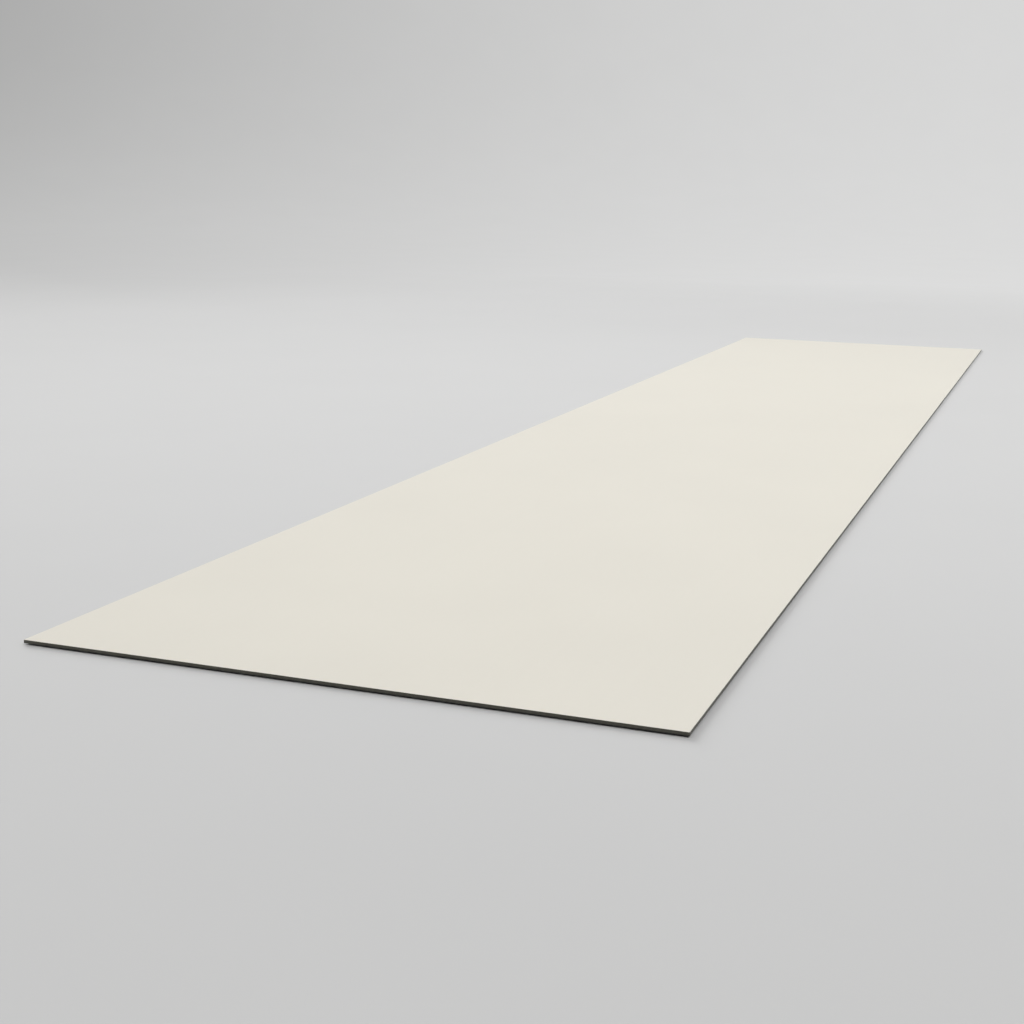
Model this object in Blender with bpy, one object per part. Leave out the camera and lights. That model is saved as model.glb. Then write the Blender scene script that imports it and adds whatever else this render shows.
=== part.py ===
"""Aluminium composite soffit board, lying flat with its cream face up.

The board is a laminate of three full-size layers: a coated aluminium face skin, a dark
polyethylene core and a primed aluminium back skin, bonded face to face and cut square.
Units are metres. +Z is up, +Y runs along the board, and the origin is under its centre.
"""

import math

import bmesh
import bpy
from mathutils import Vector

# Driving dimensions
BOARD_WIDTH = 0.600
BOARD_LENGTH = 3.000
FACE_SKIN_THICKNESS = 0.0003
CORE_THICKNESS = 0.0024
BACK_SKIN_THICKNESS = 0.0003

# The four corners of the cut board are dulled, and so is the outer arris of each skin
CORNER_RADIUS = 0.0005
CORNER_STEPS = 4
FACE_ARRIS = 0.0001
BACK_ARRIS = 0.0001
ARRIS_STEPS = 2
SMOOTH_BELOW = math.radians(35)

# Levels of the bond lines, each written once so that neighbouring layers share them exactly
BACK_BOND_LEVEL = BACK_SKIN_THICKNESS
FACE_BOND_LEVEL = BACK_SKIN_THICKNESS + CORE_THICKNESS
FACE_LEVEL = FACE_BOND_LEVEL + FACE_SKIN_THICKNESS


def clear_scene():
    """Remove every object and mesh that the file starts with."""
    for obj in list(bpy.data.objects):
        bpy.data.objects.remove(obj, do_unlink=True)
    for mesh in list(bpy.data.meshes):
        bpy.data.meshes.remove(mesh)


def make_material(name, colour, roughness, metallic):
    """Make a Principled material with a plain colour."""
    material = bpy.data.materials.new(name)
    material.use_nodes = True
    shader = material.node_tree.nodes["Principled BSDF"]
    shader.inputs["Base Color"].default_value = (*colour, 1.0)
    shader.inputs["Roughness"].default_value = roughness
    shader.inputs["Metallic"].default_value = metallic
    material.diffuse_color = (*colour, 1.0)
    return material


def board_outline():
    """Give the cut board's outline in plan, counter-clockwise, with its dulled corners."""
    corners = (
        (1, -1, -90),
        (1, 1, 0),
        (-1, 1, 90),
        (-1, -1, 180),
    )
    points = []
    for side_x, side_y, start in corners:
        centre = Vector((
            side_x * (BOARD_WIDTH / 2 - CORNER_RADIUS),
            side_y * (BOARD_LENGTH / 2 - CORNER_RADIUS),
        ))
        for step in range(CORNER_STEPS + 1):
            angle = math.radians(start + 90 * step / CORNER_STEPS)
            points.append(centre + CORNER_RADIUS * Vector((math.cos(angle), math.sin(angle))))
    return points


def loop_edges(bm, level):
    """Give the edges that lie all round the sheet at one level."""
    near = FACE_LEVEL / 1000
    return [
        edge for edge in bm.edges
        if all(abs(vert.co.z - level) < near for vert in edge.verts)
    ]


def make_layer(name, low, high, material, dulled=None, arris=0.0):
    """Make one layer of the board between two levels, with one outer arris dulled if asked."""
    bm = bmesh.new()
    base = bm.faces.new([bm.verts.new((point.x, point.y, low)) for point in board_outline()])
    raised = bmesh.ops.extrude_face_region(bm, geom=[base])["geom"]
    for item in raised:
        if isinstance(item, bmesh.types.BMVert):
            item.co.z = high
    if dulled is not None:
        bmesh.ops.bevel(
            bm,
            geom=loop_edges(bm, dulled),
            offset=min(arris, (high - low) / 2, CORNER_RADIUS / 2),
            segments=ARRIS_STEPS,
            profile=0.5,
            affect="EDGES",
        )
    bmesh.ops.recalc_face_normals(bm, faces=bm.faces)
    mesh = bpy.data.meshes.new(name)
    bm.to_mesh(mesh)
    bm.free()
    mesh.shade_smooth()
    mesh.set_sharp_from_angle(angle=SMOOTH_BELOW)
    mesh.materials.append(material)
    return bpy.data.objects.new(name, mesh)


def make_face_skin():
    """Make the coated aluminium sheet that faces the ground once the board is up."""
    cream = make_material("cream_coat", (0.78, 0.74, 0.65), 0.42, 0.0)
    return make_layer("face_skin", FACE_BOND_LEVEL, FACE_LEVEL, cream, FACE_LEVEL, FACE_ARRIS)


def make_core():
    """Make the dark polyethylene core, whose sawn edge shows on all four sides."""
    charcoal = make_material("charcoal_core", (0.045, 0.044, 0.040), 0.70, 0.0)
    return make_layer("core", BACK_BOND_LEVEL, FACE_BOND_LEVEL, charcoal)


def make_back_skin():
    """Make the primed aluminium sheet that balances the face skin and rests on the bearers."""
    primer = make_material("primed_back", (0.50, 0.51, 0.50), 0.45, 0.3)
    return make_layer("back_skin", 0.0, BACK_BOND_LEVEL, primer, 0.0, BACK_ARRIS)


def main():
    """Build the board's layers and hang them on one empty at the origin."""
    clear_scene()
    board = bpy.data.objects.new("soffit_board", None)
    bpy.context.scene.collection.objects.link(board)
    for layer in (make_back_skin(), make_core(), make_face_skin()):
        bpy.context.scene.collection.objects.link(layer)
        layer.parent = board


main()
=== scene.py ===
"""Looks of the aluminium composite soffit board: its three finishes, and the studio round it.

The board lies cream face up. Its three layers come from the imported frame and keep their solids.
This script dresses them: a cream coil coating over a bare cut edge, a sawn charcoal core, and
a grey primed back. Units are metres, +Z is up and +Y runs along the board.
"""
import logging
import math
from dataclasses import dataclass, field
from enum import Enum
from functools import cached_property

import bmesh
import bpy
from mathutils import Matrix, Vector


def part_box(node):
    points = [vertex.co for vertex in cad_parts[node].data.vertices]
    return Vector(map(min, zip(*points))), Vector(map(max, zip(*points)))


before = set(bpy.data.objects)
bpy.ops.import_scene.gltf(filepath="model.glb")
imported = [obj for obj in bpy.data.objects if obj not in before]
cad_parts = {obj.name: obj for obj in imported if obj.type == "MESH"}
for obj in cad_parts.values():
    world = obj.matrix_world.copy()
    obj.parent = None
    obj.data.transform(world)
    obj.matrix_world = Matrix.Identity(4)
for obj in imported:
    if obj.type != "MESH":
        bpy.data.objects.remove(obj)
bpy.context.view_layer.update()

log = logging.getLogger("soffit_board")

MILLIMETRE = 0.001
QUARTER_TURN = math.pi / 2
NOISE_MIDDLE = 0.5

# One saw cuts all three layers, and its lines lean this far along the edge for each metre up it.
SAW_LEAN = 0.35

# A Mix node has sockets for every kind of data. These are the places of those that colours use.
MIX_SHARE = 0
MIX_FIRST = 6
MIX_SECOND = 7
MIX_RESULT = 2

Colour = tuple[float, float, float, float]

# What goes into a socket: a plain number, a plain vector or colour, or another node's output.
Source = float | tuple[float, ...] | bpy.types.NodeSocket


class Layer(Enum):
    """The board's layers from the ground up, by the names of their nodes in the frame."""

    BACK_SKIN = "back_skin"
    CORE = "core"
    FACE_SKIN = "face_skin"


class Combine(Enum):
    """The ways in which two colours are joined, by Blender's own names."""

    MIX = "MIX"
    MULTIPLY = "MULTIPLY"


@dataclass(frozen=True)
class Noise:
    """A kind of noise.

    Attributes:
        detail: How many finer waves lie on the first.
        roughness: How strong each finer wave is.
        used: The part of its swing that an effect is made of.
    """

    detail: float = 2.0
    roughness: float = 0.5
    used: tuple[float, float] = (0.0, 1.0)


class Graph:
    """One node tree, with short calls for the few kinds of node that the finishes use."""

    def __init__(self, tree: bpy.types.NodeTree) -> None:
        """Keep the tree that the calls add to."""
        self.tree = tree

    def add(self, kind: str, **settings: object) -> bpy.types.Node:
        """Add a node and give it its plain settings.

        Args:
            kind: Blender's name for the kind of node.
            settings: Values for the node's own properties.

        Returns:
            The new node.
        """
        node = self.tree.nodes.new(kind)
        for name, value in settings.items():
            setattr(node, name, value)
        return node

    def put(self, socket: bpy.types.NodeSocket, source: Source) -> None:
        """Feed a socket from another node, or set it to a plain value.

        Args:
            socket: The input to fill.
            source: An output to link from, or the value to set.
        """
        if isinstance(source, bpy.types.NodeSocket):
            self.tree.links.new(source, socket)
        else:
            socket.default_value = source

    def where(self) -> bpy.types.NodeSocket:
        """Give the place on the object, in metres."""
        return self.add("ShaderNodeTexCoord").outputs["Object"]

    def math(self, operation: str, *sources: Source, clamp: bool = False) -> bpy.types.NodeSocket:
        """Work out one number from one to three others.

        Args:
            operation: Blender's name for the sum, such as "MULTIPLY".
            sources: The numbers or outputs that go in, in order.
            clamp: True to keep the result between 0 and 1.

        Returns:
            The result's output.
        """
        node = self.add("ShaderNodeMath", operation=operation, use_clamp=clamp)
        for socket, source in zip(node.inputs, sources):
            self.put(socket, source)
        return node.outputs["Value"]

    def split(self, vector: bpy.types.NodeSocket) -> bpy.types.Node:
        """Take a vector apart.

        Args:
            vector: The vector's output.

        Returns:
            A node with the outputs X, Y and Z.
        """
        node = self.add("ShaderNodeSeparateXYZ")
        self.put(node.inputs["Vector"], vector)
        return node

    def stretch(
        self,
        vector: bpy.types.NodeSocket,
        scale: tuple[float, float, float],
    ) -> bpy.types.NodeSocket:
        """Scale a vector by a different amount along each axis.

        Args:
            vector: The vector's output.
            scale: How many times longer it gets along X, Y and Z.

        Returns:
            The scaled vector's output.
        """
        node = self.add("ShaderNodeVectorMath", operation="MULTIPLY")
        self.put(node.inputs[0], vector)
        self.put(node.inputs[1], scale)
        return node.outputs["Vector"]

    def noise(self, vector: bpy.types.NodeSocket, scale: Source, kind: Noise) -> bpy.types.NodeSocket:
        """Add a soft noise.

        Args:
            vector: Where the noise is read.
            scale: Waves to the metre.
            kind: The kind of noise.

        Returns:
            The noise's output, from 0 to 1 with most of it near the middle.
        """
        node = self.add("ShaderNodeTexNoise")
        self.put(node.inputs["Vector"], vector)
        self.put(node.inputs["Scale"], scale)
        self.put(node.inputs["Detail"], kind.detail)
        self.put(node.inputs["Roughness"], kind.roughness)
        return node.outputs["Fac"]

    def remap(
        self,
        value: bpy.types.NodeSocket,
        old: tuple[Source, Source],
        new: tuple[Source, Source] = (0.0, 1.0),
        smooth: bool = True,
    ) -> bpy.types.NodeSocket:
        """Carry a number from one range to another and stop it at the ends.

        Args:
            value: The number's output.
            old: The range that the number comes in.
            new: The range that it leaves in.
            smooth: True for soft ends, False for a straight line.

        Returns:
            The result's output.
        """
        node = self.add("ShaderNodeMapRange", interpolation_type="SMOOTHSTEP" if smooth else "LINEAR")
        for socket, source in zip(node.inputs, (value, *old, *new)):
            self.put(socket, source)
        return node.outputs["Result"]

    def colour(
        self,
        share: Source,
        first: Source,
        second: Source,
        way: Combine = Combine.MIX,
    ) -> bpy.types.NodeSocket:
        """Join two colours.

        Args:
            share: How much of the second colour comes in, from 0 to 1.
            first: The colour that is there already.
            second: The colour that comes in.
            way: How they are joined.

        Returns:
            The joined colour's output.
        """
        node = self.add("ShaderNodeMix", data_type="RGBA", blend_type=way.value, clamp_factor=True)
        self.put(node.inputs[MIX_SHARE], share)
        self.put(node.inputs[MIX_FIRST], first)
        self.put(node.inputs[MIX_SECOND], second)
        return node.outputs[MIX_RESULT]

    def tint(self, colour: Source, tone: bpy.types.NodeSocket) -> bpy.types.NodeSocket:
        """Lighten or darken a colour by a tone near 1.

        Args:
            colour: The colour.
            tone: The tone's output.

        Returns:
            The toned colour's output.
        """
        grey = self.add("ShaderNodeCombineColor")
        for socket in grey.inputs:
            self.put(socket, tone)
        return self.colour(1.0, colour, grey.outputs["Color"], Combine.MULTIPLY)

    def place(self, group: bpy.types.NodeTree, **values: Source) -> bpy.types.Node:
        """Place a shared group and fill its inputs.

        Args:
            group: The group's node tree.
            values: What goes into each input, by its name in small letters and with underscores.

        Returns:
            The group's node.
        """
        node = self.add("ShaderNodeGroup", node_tree=group)
        for name, value in values.items():
            self.put(node.inputs[name.replace("_", " ").capitalize()], value)
        return node


class Group(Graph):
    """A shared effect's node tree, with inputs and outputs that have names."""

    def __init__(self, name: str, inputs: dict[str, float], outputs: tuple[str, ...]) -> None:
        """Make an empty group with its sockets.

        Args:
            name: The group's name.
            inputs: Each input's name and its usual value.
            outputs: The names of the outputs.
        """
        super().__init__(bpy.data.node_groups.new(name, "ShaderNodeTree"))
        for label, usual in inputs.items():
            socket = self.tree.interface.new_socket(label, in_out="INPUT", socket_type="NodeSocketFloat")
            socket.default_value = usual
        for label in outputs:
            self.tree.interface.new_socket(label, in_out="OUTPUT", socket_type="NodeSocketFloat")
        self.way_in = self.add("NodeGroupInput")
        self.way_out = self.add("NodeGroupOutput")

    def given(self, label: str) -> bpy.types.NodeSocket:
        """Give what comes in by the input of that name."""
        return self.way_in.outputs[label]

    def send(self, label: str, source: Source) -> None:
        """Send something out by the output of that name."""
        self.put(self.way_out.inputs[label], source)

    def swing(self, label: str, waves: bpy.types.NodeSocket, kind: Noise) -> None:
        """Spread a noise from -1 to 1 and send it out, and with it the tone near 1 that it makes.

        Args:
            label: The output that the spread noise leaves by.
            waves: The noise's output.
            kind: The kind of noise, for the part of its swing that is used.
        """
        spread = self.remap(waves, kind.used, (-1.0, 1.0), smooth=False)
        change = self.math("MULTIPLY", spread, self.given("Strength"))
        self.send("Tone", self.math("ADD", change, 1.0))
        self.send(label, spread)


@dataclass
class Effects:
    """The effects that more than one finish uses, each a shader node group that is built once.

    Attributes:
        cloud: The noise of soft patches.
        streak: The noise of the coating rollers' lines.
        streak_pace: How fast it changes along the coil, as a share of its pace across.
        tooth: The noise of the saw's lines.
        tooth_pace: How fast it changes up the edge, as a share of its pace along the edge.
        chip: The noise that makes the coating's border ragged.
        chips_to_the_metre: How dense that noise is.
        bare_limits: How level the surface is where bare metal starts, and where it is full. A level
            surface counts as 1 and an upright one as 0.
        arris_limits: The same for the worn line on the arris.
        hair: The noise of single scratches.
        hair_pace: How fast it changes along a scratch, as a share of its pace across.
        hairs_to_a_patch: How many times denser the scratches are than the patches they lie in.
        handled: The noise of the patches that hold scratches.
        scratch_turns: The directions of the scratches, in radians.
    """

    cloud: Noise = Noise(detail=3.0, roughness=0.55, used=(0.28, 0.72))
    streak: Noise = Noise(detail=4.0, roughness=0.65, used=(0.25, 0.75))
    streak_pace: float = 0.012
    tooth: Noise = Noise(detail=3.0, roughness=0.6, used=(0.25, 0.75))
    tooth_pace: float = 0.08
    chip: Noise = Noise(detail=2.0)
    chips_to_the_metre: float = 600.0
    bare_limits: tuple[float, float] = (0.80, 0.62)
    arris_limits: tuple[float, float] = (0.995, 0.90)
    hair: Noise = Noise(detail=1.0, used=(0.735, 0.80))
    hair_pace: float = 0.04
    hairs_to_a_patch: float = 14.0
    handled: Noise = Noise(detail=1.0, used=(0.50, 0.62))
    scratch_turns: tuple[float, ...] = (0.35, 1.25, 2.3)

    @cached_property
    def mottle(self) -> bpy.types.NodeTree:
        """Soft cloudy patches, which every real surface has a little of.

        Returns:
            The group, with Tone as a multiplier near 1 and Cloud from -1 to 1.
        """
        group = Group("mottle", {"Patches to the metre": 8.0, "Strength": 0.02}, ("Tone", "Cloud"))
        soft = group.noise(group.where(), group.given("Patches to the metre"), self.cloud)
        group.swing("Cloud", soft, self.cloud)
        return group.tree

    @cached_property
    def roll_lines(self) -> bpy.types.NodeTree:
        """The long faint lines that the coating rollers leave along a coil.

        Returns:
            The group, with Tone as a multiplier near 1 and Height from -1 to 1.
        """
        group = Group("roll lines", {"Lines to the metre": 120.0, "Strength": 0.01}, ("Tone", "Height"))
        along = group.stretch(group.where(), (1.0, self.streak_pace, 1.0))
        lines = group.noise(along, group.given("Lines to the metre"), self.streak)
        group.swing("Height", lines, self.streak)
        return group.tree

    @cached_property
    def saw_lines(self) -> bpy.types.NodeTree:
        """The leaning lines that the panel saw leaves across a cut edge.

        Each edge runs along X or along Y, so the sum of the two is the way along every edge.

        Returns:
            The group, with Tone as a multiplier near 1 and Height from -1 to 1.
        """
        usual = {"Lines to the metre": 900.0, "Lean": SAW_LEAN, "Strength": 0.1}
        group = Group("saw lines", usual, ("Tone", "Height"))
        spot = group.split(group.where())
        along = group.math("ADD", spot.outputs["X"], spot.outputs["Y"])
        way = group.add("ShaderNodeCombineXYZ")
        group.put(way.inputs["X"], group.math("MULTIPLY_ADD", spot.outputs["Z"], group.given("Lean"), along))
        group.put(way.inputs["Y"], group.math("MULTIPLY", spot.outputs["Z"], self.tooth_pace))
        lines = group.noise(way.outputs["Vector"], group.given("Lines to the metre"), self.tooth)
        group.swing("Height", lines, self.tooth)
        return group.tree

    @cached_property
    def cut_edge(self) -> bpy.types.NodeTree:
        """The difference between a skin's coated side and its bare cut edge.

        Returns:
            The group, with Bare from 0 on the coating to 1 on the cut, and Arris as 1 between them.
        """
        group = Group("cut edge", {"Ragged": 0.12}, ("Bare", "Arris"))
        facing = group.split(group.add("ShaderNodeTexCoord").outputs["Normal"])
        upright = group.math("ABSOLUTE", facing.outputs["Z"])
        waves = group.noise(group.where(), self.chips_to_the_metre, self.chip)
        chips = group.math("SUBTRACT", waves, NOISE_MIDDLE)
        level = group.math("MULTIPLY_ADD", chips, group.given("Ragged"), upright)
        bare = group.remap(level, self.bare_limits)
        worn = group.remap(level, self.arris_limits)
        group.send("Bare", bare)
        group.send("Arris", group.math("SUBTRACT", worn, bare, clamp=True))
        return group.tree

    @cached_property
    def handling_marks(self) -> bpy.types.NodeTree:
        """The sparse hair scratches of stacking and carrying.

        Returns:
            The group, with Marks as 1 on a scratch and 0 elsewhere.
        """
        group = Group("handling marks", {"Scratches to the metre": 26.0, "Amount": 0.5}, ("Marks",))
        where = group.where()
        density = group.given("Scratches to the metre")
        hair_density = group.math("MULTIPLY", density, self.hairs_to_a_patch)
        found = 0.0
        for turn in self.scratch_turns:
            turned = group.add("ShaderNodeVectorRotate", rotation_type="Z_AXIS")
            group.put(turned.inputs["Vector"], where)
            group.put(turned.inputs["Angle"], turn)
            way = turned.outputs["Vector"]
            hairs = group.noise(group.stretch(way, (1.0, self.hair_pace, 1.0)), hair_density, self.hair)
            patches = group.noise(way, density, self.handled)
            line = group.remap(hairs, self.hair.used)
            part = group.math("MULTIPLY", line, group.remap(patches, self.handled.used))
            found = group.math("MAXIMUM", found, part)
        group.send("Marks", group.math("MULTIPLY", found, group.given("Amount")))
        return group.tree


@dataclass(frozen=True)
class Finish:
    """What the finishes have in common: a named material with one Principled shader.

    Attributes:
        name: The material's name.
    """

    name: str

    def material(self, effects: Effects) -> bpy.types.Material:
        """Make the finish. Each kind of finish says how."""
        raise NotImplementedError

    def begin(self) -> tuple[bpy.types.Material, Graph, bpy.types.Node]:
        """Make the material and clear its nodes down to the shader and the output.

        Returns:
            The material, its graph and its Principled node.
        """
        material = bpy.data.materials.new(self.name)
        material.use_nodes = True
        material.node_tree.nodes.clear()
        graph = Graph(material.node_tree)
        shader = graph.add("ShaderNodeBsdfPrincipled")
        output = graph.add("ShaderNodeOutputMaterial")
        graph.put(output.inputs["Surface"], shader.outputs["BSDF"])
        return material, graph, shader

    def bump(
        self,
        graph: Graph,
        shader: bpy.types.Node,
        heights: tuple[tuple[bpy.types.NodeSocket, float], ...],
    ) -> None:
        """Put reliefs on the surface, one on the other.

        Args:
            graph: The material's graph.
            shader: The Principled node that takes the normal.
            heights: Each relief's output and its height in metres.
        """
        below = None
        for height, depth in heights:
            relief = graph.add("ShaderNodeBump")
            graph.put(relief.inputs["Strength"], 1.0)
            graph.put(relief.inputs["Distance"], depth)
            graph.put(relief.inputs["Height"], height)
            if below is not None:
                graph.put(relief.inputs["Normal"], below)
            below = relief.outputs["Normal"]
        graph.put(shader.inputs["Normal"], below)


@dataclass(frozen=True)
class CoilCoat(Finish):
    """A satin coil coating over an aluminium skin, with the metal bare on the sawn edge.

    Attributes:
        colour: The coating.
        worn_colour: The coating on a scratch and on the arris.
        bare_metal_and_shade_colour: The metal on the cut edge. On the back skin it is near black, as painted
            shade.
        roughness: How rough the coating is.
        bare_roughness: How rough the cut edge is.
        bare_metal: How far the cut edge shines as metal does, from 0 to 1.
        gloss: How strongly the surface reflects.
        cloud_strength: How far the soft patches change the tone.
        grain_strength: How far the fine grain does.
        line_strength: How far the rollers' lines do.
        scratch_amount: How strongly the scratches show, from 0 to 1.
        peel_height: The height of the coating's faint orange peel.
        line_height: The height of the rollers' lines.
        clouds_to_the_metre: How dense the soft patches are.
        grains_to_the_metre: How dense the grain is.
        lines_to_the_metre: How dense the rollers' lines are.
        scratches_to_the_metre: How dense the scratched patches are.
        peel: The noise of the orange peel.
        peels_to_the_metre: How dense it is.
        cloud_roughness: How far the soft patches change the roughness.
        scratch_roughness: How much rougher a scratch is.
        scratch_wear: How much of the worn colour a scratch shows.
        ragged: How ragged the coating's border is.
        saw_lines_to_the_metre: How dense the saw's lines on the metal are.
        saw_strength: How far they change the metal's tone.
        saw_height: How high they stand.
    """

    colour: Colour
    worn_colour: Colour
    bare_metal_and_shade_colour: Colour
    roughness: float
    bare_roughness: float
    bare_metal: float
    gloss: float
    cloud_strength: float
    grain_strength: float
    line_strength: float
    scratch_amount: float
    peel_height: float
    line_height: float
    clouds_to_the_metre: float = 5.0
    grains_to_the_metre: float = 260.0
    lines_to_the_metre: float = 140.0
    scratches_to_the_metre: float = 24.0
    peel: Noise = Noise(detail=2.0, roughness=0.45)
    peels_to_the_metre: float = 380.0
    cloud_roughness: float = 0.02
    scratch_roughness: float = 0.12
    scratch_wear: float = 0.25
    ragged: float = 0.16
    saw_lines_to_the_metre: float = 1500.0
    saw_strength: float = 0.18
    saw_height: float = 0.006 * MILLIMETRE

    def material(self, effects: Effects) -> bpy.types.Material:
        """Make the finish.

        Args:
            effects: The shared effects.

        Returns:
            The material.
        """
        material, graph, shader = self.begin()
        clouds = graph.place(
            effects.mottle,
            patches_to_the_metre=self.clouds_to_the_metre,
            strength=self.cloud_strength,
        )
        grain = graph.place(
            effects.mottle,
            patches_to_the_metre=self.grains_to_the_metre,
            strength=self.grain_strength,
        )
        rolled = graph.place(
            effects.roll_lines,
            lines_to_the_metre=self.lines_to_the_metre,
            strength=self.line_strength,
        )
        sawn = graph.place(
            effects.saw_lines,
            lines_to_the_metre=self.saw_lines_to_the_metre,
            lean=SAW_LEAN,
            strength=self.saw_strength,
        )
        cut = graph.place(effects.cut_edge, ragged=self.ragged)
        scratched = graph.place(
            effects.handling_marks,
            scratches_to_the_metre=self.scratches_to_the_metre,
            amount=self.scratch_amount,
        )
        bare = cut.outputs["Bare"]
        marks = scratched.outputs["Marks"]

        coat = graph.tint(self.colour, clouds.outputs["Tone"])
        coat = graph.tint(coat, grain.outputs["Tone"])
        coat = graph.tint(coat, rolled.outputs["Tone"])
        coat = graph.colour(graph.math("MULTIPLY", marks, self.scratch_wear), coat, self.worn_colour)
        coat = graph.colour(cut.outputs["Arris"], coat, self.worn_colour)
        # The cut edge takes this colour, which on the back skin is near black as painted shade.
        metal = graph.tint(self.bare_metal_and_shade_colour, sawn.outputs["Tone"])
        graph.put(shader.inputs["Base Color"], graph.colour(bare, coat, metal))

        satin = graph.math("MULTIPLY_ADD", clouds.outputs["Cloud"], self.cloud_roughness, self.roughness)
        satin = graph.math("MULTIPLY_ADD", marks, self.scratch_roughness, satin)
        rough = graph.remap(bare, (0.0, 1.0), (satin, self.bare_roughness), smooth=False)
        graph.put(shader.inputs["Roughness"], rough)
        graph.put(shader.inputs["Metallic"], graph.math("MULTIPLY", bare, self.bare_metal))
        graph.put(shader.inputs["Specular IOR Level"], self.gloss)

        peel = graph.noise(graph.where(), self.peels_to_the_metre, self.peel)
        teeth = graph.math("MULTIPLY", sawn.outputs["Height"], bare)
        self.bump(graph, shader, (
            (peel, self.peel_height),
            (rolled.outputs["Height"], self.line_height),
            (teeth, self.saw_height),
        ))
        return material


@dataclass(frozen=True)
class SawnCore(Finish):
    """A mineral-filled charcoal polyethylene core, seen only where the saw has cut it.

    Attributes:
        colour: The plastic.
        smear_colour: The plastic where the saw has smeared it.
        fleck_colour: The mineral flecks in it.
        roughness: How rough the cut plastic is.
        gloss: How strongly it reflects.
        clouds_to_the_metre: How dense its soft patches are.
        cloud_strength: How far they change the tone.
        grains_to_the_metre: How dense its fine grain is.
        grain_strength: How far that changes the tone.
        lines_to_the_metre: How dense the saw's lines are.
        line_strength: How far they change the tone.
        line_height: How high they stand.
        smear_limits: The height on a saw line where smears start, and where they are full.
        smear_share: How much of the smear's colour shows.
        smear_polish: How much smoother a smear is.
        fleck: The noise of the flecks.
        flecks_to_the_metre: How dense they are.
        pore: The noise of the pores.
        pores_to_the_metre: How dense they are.
        pore_depth: How deep they are.
    """

    colour: Colour
    smear_colour: Colour
    fleck_colour: Colour
    roughness: float
    gloss: float = 0.5
    clouds_to_the_metre: float = 18.0
    cloud_strength: float = 0.08
    grains_to_the_metre: float = 1400.0
    grain_strength: float = 0.14
    lines_to_the_metre: float = 950.0
    line_strength: float = 0.16
    line_height: float = 0.012 * MILLIMETRE
    smear_limits: tuple[float, float] = (0.35, 0.95)
    smear_share: float = 0.5
    smear_polish: float = 0.14
    fleck: Noise = Noise(detail=1.0, used=(0.70, 0.76))
    flecks_to_the_metre: float = 2600.0
    pore: Noise = Noise(detail=2.0)
    pores_to_the_metre: float = 1800.0
    pore_depth: float = 0.01 * MILLIMETRE

    def material(self, effects: Effects) -> bpy.types.Material:
        """Make the finish.

        Args:
            effects: The shared effects.

        Returns:
            The material.
        """
        material, graph, shader = self.begin()
        where = graph.where()
        clouds = graph.place(
            effects.mottle,
            patches_to_the_metre=self.clouds_to_the_metre,
            strength=self.cloud_strength,
        )
        grain = graph.place(
            effects.mottle,
            patches_to_the_metre=self.grains_to_the_metre,
            strength=self.grain_strength,
        )
        sawn = graph.place(
            effects.saw_lines,
            lines_to_the_metre=self.lines_to_the_metre,
            lean=SAW_LEAN,
            strength=self.line_strength,
        )
        smeared = graph.remap(sawn.outputs["Height"], self.smear_limits)

        plastic = graph.tint(self.colour, clouds.outputs["Tone"])
        plastic = graph.tint(plastic, grain.outputs["Tone"])
        plastic = graph.tint(plastic, sawn.outputs["Tone"])
        smears = graph.math("MULTIPLY", smeared, self.smear_share)
        plastic = graph.colour(smears, plastic, self.smear_colour)
        flecks = graph.remap(graph.noise(where, self.flecks_to_the_metre, self.fleck), self.fleck.used)
        graph.put(shader.inputs["Base Color"], graph.colour(flecks, plastic, self.fleck_colour))

        rough = graph.math("MULTIPLY_ADD", smeared, -self.smear_polish, self.roughness)
        graph.put(shader.inputs["Roughness"], rough)
        graph.put(shader.inputs["Metallic"], 0.0)
        graph.put(shader.inputs["Specular IOR Level"], self.gloss)
        self.bump(graph, shader, (
            (sawn.outputs["Height"], self.line_height),
            (graph.noise(where, self.pores_to_the_metre, self.pore), self.pore_depth),
        ))
        return material


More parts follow.
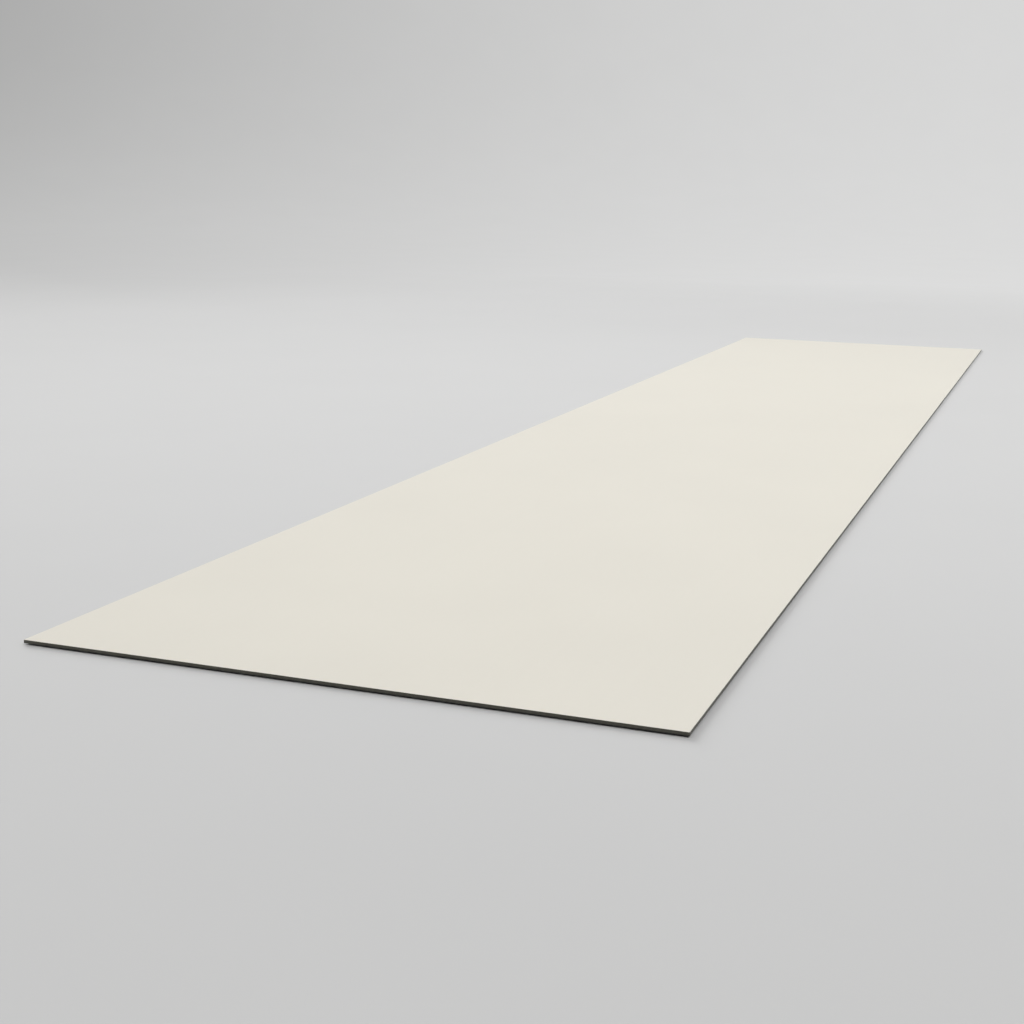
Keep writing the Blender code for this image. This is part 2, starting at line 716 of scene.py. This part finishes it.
@dataclass(frozen=True)
class Sweep(Finish):
    """The studio's pale sweep: plain paint round the board, turning into a softly glowing cloth far away.

    The cloth's glow is painted light for the studio's far floor and backdrop, and its dark top left is
    painted shade. It is laid out by direction from a fixed point over the board's middle. A direction
    has a length of one, so its X says how far to the right it points, and its Z how far up.

    Attributes:
        paint: The paint round the board.
        far_paint_with_painted_light: The paint where the cloth takes over, lighter than the paint round the
            board as painted light.
        low_left: The cloth's painted glow low on the left.
        high_left: Its painted glow high on the left, dark as painted shade.
        low_right: Its painted glow low on the right.
        high_right: Its painted glow high on the right.
        cloth_start: The distance from the board's middle where the paint starts to give way.
        cloth_end: The distance where the cloth has taken over.
        middle_height: How high the fixed point is.
        left: The X where the glow stops changing towards the left.
        right: The X where it stops changing towards the right.
        left_share: The right side's share of the glow at the left stop, before the shares are bent.
        low: The Z where the glow stops changing downwards.
        high: The Z where it stops changing upwards.
        roughness: How rough the paint is.
        clouds_to_the_metre: How dense the soft patches are.
        cloud_strength: How far they change the tone.
    """

    paint: Colour
    far_paint_with_painted_light: Colour
    low_left: Colour
    high_left: Colour
    low_right: Colour
    high_right: Colour
    cloth_start: float
    cloth_end: float
    middle_height: float
    left: float
    right: float
    left_share: float
    low: float
    high: float
    roughness: float = 0.9
    clouds_to_the_metre: float = 3.0
    cloud_strength: float = 0.006

    def material(self, effects: Effects) -> bpy.types.Material:
        """Make the finish.

        Args:
            effects: The shared effects.

        Returns:
            The material.
        """
        material, graph, shader = self.begin()
        where = graph.where()
        clouds = graph.place(
            effects.mottle,
            patches_to_the_metre=self.clouds_to_the_metre,
            strength=self.cloud_strength,
        )
        away = graph.add("ShaderNodeVectorMath", operation="LENGTH")
        graph.put(away.inputs[0], where)
        spread = graph.remap(away.outputs["Value"], (self.cloth_start, self.cloth_end))
        # Away from the board the paint turns lighter, as painted light.
        paint = graph.colour(spread, self.paint, self.far_paint_with_painted_light)
        graph.put(shader.inputs["Base Color"], graph.tint(paint, clouds.outputs["Tone"]))
        graph.put(shader.inputs["Roughness"], self.roughness)
        graph.put(shader.inputs["Specular IOR Level"], 0.0)

        # The far cloth glows as painted light for the studio's far floor and backdrop.
        cloth = graph.add("ShaderNodeEmission")
        graph.put(cloth.inputs["Color"], graph.tint(self.glow(graph, where), clouds.outputs["Tone"]))
        both = graph.add("ShaderNodeMixShader")
        graph.put(both.inputs[0], spread)
        graph.put(both.inputs[1], shader.outputs["BSDF"])
        graph.put(both.inputs[2], cloth.outputs["Emission"])
        output = next(node for node in graph.tree.nodes if node.type == "OUTPUT_MATERIAL")
        graph.put(output.inputs["Surface"], both.outputs["Shader"])
        return material

    def glow(self, graph: Graph, where: bpy.types.NodeSocket) -> bpy.types.NodeSocket:
        """Work out the cloth's glow.

        Args:
            graph: The material's graph.
            where: The place on the cloth.

        Returns:
            The glow's colour.
        """
        # The glow is painted light, darkest high on the left as painted shade.
        from_middle = graph.add("ShaderNodeVectorMath", operation="SUBTRACT")
        graph.put(from_middle.inputs[0], where)
        graph.put(from_middle.inputs[1], (0.0, 0.0, self.middle_height))
        direction = graph.add("ShaderNodeVectorMath", operation="NORMALIZE")
        graph.put(direction.inputs[0], from_middle.outputs["Vector"])
        side = graph.split(direction.outputs["Vector"])
        up = graph.remap(side.outputs["Z"], (self.low, self.high))
        ends = (self.left_share, 1.0)
        across = graph.remap(side.outputs["X"], (self.left, self.right), ends, smooth=False)
        # A share s is bent to s * (2 - s), which climbs fast on the left and levels off at 1 on the right.
        across = graph.math("MULTIPLY", across, graph.math("SUBTRACT", 2.0, across))
        left = graph.colour(up, self.low_left, self.high_left)
        right = graph.colour(up, self.low_right, self.high_right)
        return graph.colour(across, left, right)


CREAM_FACE = CoilCoat(
    name="cream_coil_coat",
    colour=(0.784, 0.753, 0.671, 1.0),
    worn_colour=(0.80, 0.78, 0.73, 1.0),
    bare_metal_and_shade_colour=(0.156, 0.150, 0.127, 1.0),
    roughness=0.49,
    bare_roughness=0.40,
    bare_metal=0.6,
    gloss=0.5,
    cloud_strength=0.008,
    grain_strength=0.004,
    line_strength=0.003,
    scratch_amount=0.5,
    peel_height=0.004 * MILLIMETRE,
    line_height=0.0015 * MILLIMETRE,
)
GREY_BACK = CoilCoat(
    name="grey_primed_back",
    colour=(0.50, 0.51, 0.50, 1.0),
    worn_colour=(0.58, 0.585, 0.58, 1.0),
    # The back skin's near-black cut edge is painted shade for the dark slot under the board.
    bare_metal_and_shade_colour=(0.035, 0.035, 0.033, 1.0),
    roughness=0.46,
    bare_roughness=0.55,
    bare_metal=0.2,
    gloss=0.45,
    cloud_strength=0.030,
    grain_strength=0.020,
    line_strength=0.030,
    scratch_amount=1.0,
    peel_height=0.003 * MILLIMETRE,
    line_height=0.003 * MILLIMETRE,
)
CHARCOAL_CORE = SawnCore(
    name="sawn_charcoal_core",
    colour=(0.099, 0.0945, 0.071, 1.0),
    smear_colour=(0.132, 0.127, 0.099, 1.0),
    fleck_colour=(0.22, 0.215, 0.19, 1.0),
    roughness=0.38,
)
PALE_SWEEP = Sweep(
    name="pale_sweep",
    paint=(0.598, 0.598, 0.596, 1.0),
    # The far paint is lighter than the paint round the board, as painted light.
    far_paint_with_painted_light=(0.657, 0.657, 0.655, 1.0),
    # The glow colours are painted light; the dark high left is painted shade.
    low_left=(0.745, 0.745, 0.742, 1.0),
    high_left=(0.200, 0.200, 0.198, 1.0),
    low_right=(0.751, 0.751, 0.748, 1.0),
    high_right=(0.680, 0.680, 0.677, 1.0),
    cloth_start=1.73,
    cloth_end=4.17,
    middle_height=0.4,
    left=-0.78,
    right=0.068,
    left_share=0.169,
    low=-0.301,
    high=0.137,
)


def rotation(angle: float, axis: str) -> Matrix:
    """Give a turn about one axis, as a matrix that can be joined with a move."""
    return Matrix.Rotation(angle, 4, axis)


@dataclass
class Board:
    """The board: three layers that keep their solids from the frame and take their finishes here.

    Attributes:
        effects: The shared effects.
        finishes: What each layer wears.
    """

    effects: Effects
    finishes: dict[Layer, Finish] = field(default_factory=lambda: {
        Layer.FACE_SKIN: CREAM_FACE,
        Layer.CORE: CHARCOAL_CORE,
        Layer.BACK_SKIN: GREY_BACK,
    })

    def dress(self) -> None:
        """Give each layer's node its finish and report it."""
        for layer, finish in self.finishes.items():
            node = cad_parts[layer.value]
            node.data.materials[0] = finish.material(self.effects)
            low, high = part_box(layer.value)
            size = [round(length / MILLIMETRE, 2) for length in high - low]
            log.info("%s, %s mm, wears %s", layer.value, size, finish.name)


@dataclass
class Viewpoint:
    """The photograph's camera, which stands off the board's near right corner and looks along it.

    Attributes:
        place: Where it stands.
        turn: How far to the left of +Y it looks, in radians.
        dip: How far down it looks, in radians.
        roll: How far its top leans to the left, in radians.
        lens: Its focal length in millimetres.
        sensor: The width of its frame in millimetres.
        nearest: The shortest distance that it shows.
        furthest: The longest distance that it shows.
    """

    place: tuple[float, float, float] = (0.55548, -2.5845, 0.40668)
    turn: float = math.radians(20.249)
    dip: float = math.radians(12.109)
    roll: float = math.radians(0.934)
    lens: float = 54.777
    sensor: float = 36.0
    nearest: float = 0.05
    furthest: float = 60.0

    def build(self) -> bpy.types.Object:
        """Make the camera and hand it to the scene.

        Returns:
            The camera.
        """
        data = bpy.data.cameras.new("photo_camera")
        data.lens = self.lens
        data.sensor_width = self.sensor
        data.clip_start = self.nearest
        data.clip_end = self.furthest
        camera = bpy.data.objects.new("photo_camera", data)
        bpy.context.scene.collection.objects.link(camera)
        turned = Matrix.Translation(self.place) @ rotation(self.turn, "Z")
        dipped = turned @ rotation(QUARTER_TURN - self.dip, "X")
        camera.matrix_world = dipped @ rotation(self.roll, "Z")
        bpy.context.scene.camera = camera
        log.info("camera at %s with a %.1f mm lens", self.place, self.lens)
        return camera


@dataclass
class Overhead:
    """One wide soft light that hangs over the board, faces straight down and isn't itself seen.

    Attributes:
        place: Where its middle hangs.
        side: The length of each side.
        power: Its power in watts.
    """

    place: tuple[float, float, float] = (-0.28, 0.69, 2.1)
    side: float = 6.0
    power: float = 96.5

    def build(self) -> bpy.types.Object:
        """Make the light and hang it.

        Returns:
            The light.
        """
        data = bpy.data.lights.new("overhead_softbox", "AREA")
        data.shape = "SQUARE"
        data.size = self.side
        data.energy = self.power
        light = bpy.data.objects.new("overhead_softbox", data)
        bpy.context.scene.collection.objects.link(light)
        light.location = self.place
        light.visible_camera = False
        light.visible_glossy = False
        log.info("overhead softbox of %.1f W", self.power)
        return light


@dataclass
class FarLight:
    """A round soft light so far off that it falls on the whole board from one side.

    Attributes:
        name: Its name.
        turn: The side that it stands on, in radians from +Y towards -X.
        height: How high it stands over the horizon, in radians.
        spread: How wide it looks from the board, in radians.
        strength: Its light in watts per square metre.
        mirrored: True if glossy surfaces reflect it.
    """

    name: str
    turn: float
    height: float
    spread: float
    strength: float
    mirrored: bool

    def build(self) -> bpy.types.Object:
        """Make the light and aim it at the board.

        Returns:
            The light.
        """
        data = bpy.data.lights.new(self.name, "SUN")
        data.angle = self.spread
        data.energy = self.strength
        light = bpy.data.objects.new(self.name, data)
        bpy.context.scene.collection.objects.link(light)
        light.matrix_world = rotation(self.turn, "Z") @ rotation(self.height - QUARTER_TURN, "X")
        light.visible_glossy = self.mirrored
        data.cycles.use_multiple_importance_sampling = self.mirrored
        log.info("%s of %.2f W per square metre", self.name, self.strength)
        return light


LOW_LEFT = FarLight(
    name="low_light_behind_left",
    turn=math.radians(42.0),
    height=math.radians(17.0),
    spread=math.radians(24.0),
    strength=2.75,
    mirrored=False,
)
HIGH_RIGHT = FarLight(
    name="high_light_from_right",
    turn=math.radians(-105.0),
    height=math.radians(65.0),
    spread=math.radians(28.0),
    strength=0.78,
    mirrored=True,
)


@dataclass
class Studio:
    """The pale sweep under and behind the board, and all the light on it.

    The photograph shows a thin dark slot under the board's near end, which closes towards the far
    end. This board is flat, so the floor slopes gently away under its near end instead.

    Attributes:
        effects: The shared effects.
        floor_level: The floor's height under the board's middle.
        floor_rise: How far the floor rises in each metre towards the far end.
        floor_reach: How far the flat floor goes in every direction.
        curve_radius: The radius of the bend from the floor to the backdrop.
        wall_height: How high the backdrop stands over the floor.
        curve_steps: How many straight steps the bend has.
        round_steps: How many straight steps go once round the middle.
        air_low: The strength of the air's own light from the horizon and below.
        air_high: Its strength from straight above.
        air_colour: Its colour.
    """

    effects: Effects
    floor_level: float = -0.725 * MILLIMETRE
    floor_rise: float = 0.45 * MILLIMETRE
    floor_reach: float = 9.0
    curve_radius: float = 3.0
    wall_height: float = 5.0
    curve_steps: int = 24
    round_steps: int = 96
    air_low: float = 0.01
    air_high: float = 0.115
    air_colour: Colour = (1.0, 1.0, 0.997, 1.0)

    def profile(self) -> list[tuple[float, float]]:
        """Give the sweep's profile from the edge of the flat floor up the backdrop.

        Returns:
            Points as a distance from the middle and a height.
        """
        points = []
        for step in range(self.curve_steps + 1):
            angle = QUARTER_TURN * step / self.curve_steps
            out = self.floor_reach + self.curve_radius * math.sin(angle)
            up = self.floor_level + self.curve_radius * (1 - math.cos(angle))
            points.append((out, up))
        points.append((self.floor_reach + self.curve_radius, self.floor_level + self.wall_height))
        return points

    def turned(self, name: str, points: list[tuple[float, float]]) -> bpy.types.Object:
        """Turn a profile all the way round the middle into a smooth sheet, and tip it by the rise.

        Args:
            name: The object's name.
            points: The profile, as distances from the middle and heights.

        Returns:
            The sheet.
        """
        turns = [math.tau * step / self.round_steps for step in range(self.round_steps)]
        bm = bmesh.new()
        rings = []
        for out, up in points:
            ring = [(out * math.cos(turn), out * math.sin(turn), up) for turn in turns]
            rings.append([bm.verts.new(spot) for spot in (ring if out > 0.0 else ring[:1])])
        for inner, outer in zip(rings, rings[1:]):
            for step in range(self.round_steps):
                after = (step + 1) % self.round_steps
                if len(inner) == 1:
                    bm.faces.new((inner[0], outer[step], outer[after]))
                else:
                    bm.faces.new((inner[step], outer[step], outer[after], inner[after]))
        mesh = bpy.data.meshes.new(name)
        bm.to_mesh(mesh)
        bm.free()
        mesh.shade_smooth()
        sheet = bpy.data.objects.new(name, mesh)
        sheet.rotation_euler.x = math.atan(self.floor_rise)
        bpy.context.scene.collection.objects.link(sheet)
        return sheet

    def lay_sweep(self) -> None:
        """Make the floor and the backdrop, which is seen and mirrored but throws no light or shade."""
        paint = PALE_SWEEP.material(self.effects)
        floor = self.turned("studio_floor", [(0.0, self.floor_level), (self.floor_reach, self.floor_level)])
        backdrop = self.turned("studio_backdrop", self.profile())
        for sheet in (floor, backdrop):
            sheet.data.materials.append(paint)
        backdrop.visible_shadow = False
        backdrop.visible_diffuse = False

    def light_air(self) -> None:
        """Fill the room with a faint light of its own, which grows from the horizon upwards."""
        world = bpy.data.worlds.new("studio_air")
        world.use_nodes = True
        graph = Graph(world.node_tree)
        way = graph.split(graph.add("ShaderNodeTexCoord").outputs["Generated"])
        strength = graph.remap(way.outputs["Z"], (0.0, 1.0), (self.air_low, self.air_high), smooth=False)
        background = world.node_tree.nodes["Background"]
        graph.put(background.inputs["Strength"], strength)
        graph.put(background.inputs["Color"], self.air_colour)
        bpy.context.scene.world = world

    def build(self) -> None:
        """Make the sweep, the air's light, the softbox overhead and the two far lights."""
        self.lay_sweep()
        self.light_air()
        bpy.context.scene.view_settings.view_transform = "Standard"
        Overhead().build()
        LOW_LEFT.build()
        HIGH_RIGHT.build()
        log.info("studio with its floor %.1f mm below the board's middle", -self.floor_level / MILLIMETRE)


def main() -> None:
    """Dress the board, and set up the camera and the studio."""
    logging.basicConfig(level=logging.INFO, format="%(name)s: %(message)s")
    effects = Effects()
    Viewpoint().build()
    Board(effects).dress()
    Studio(effects).build()


if __name__ == "__main__":
    main()
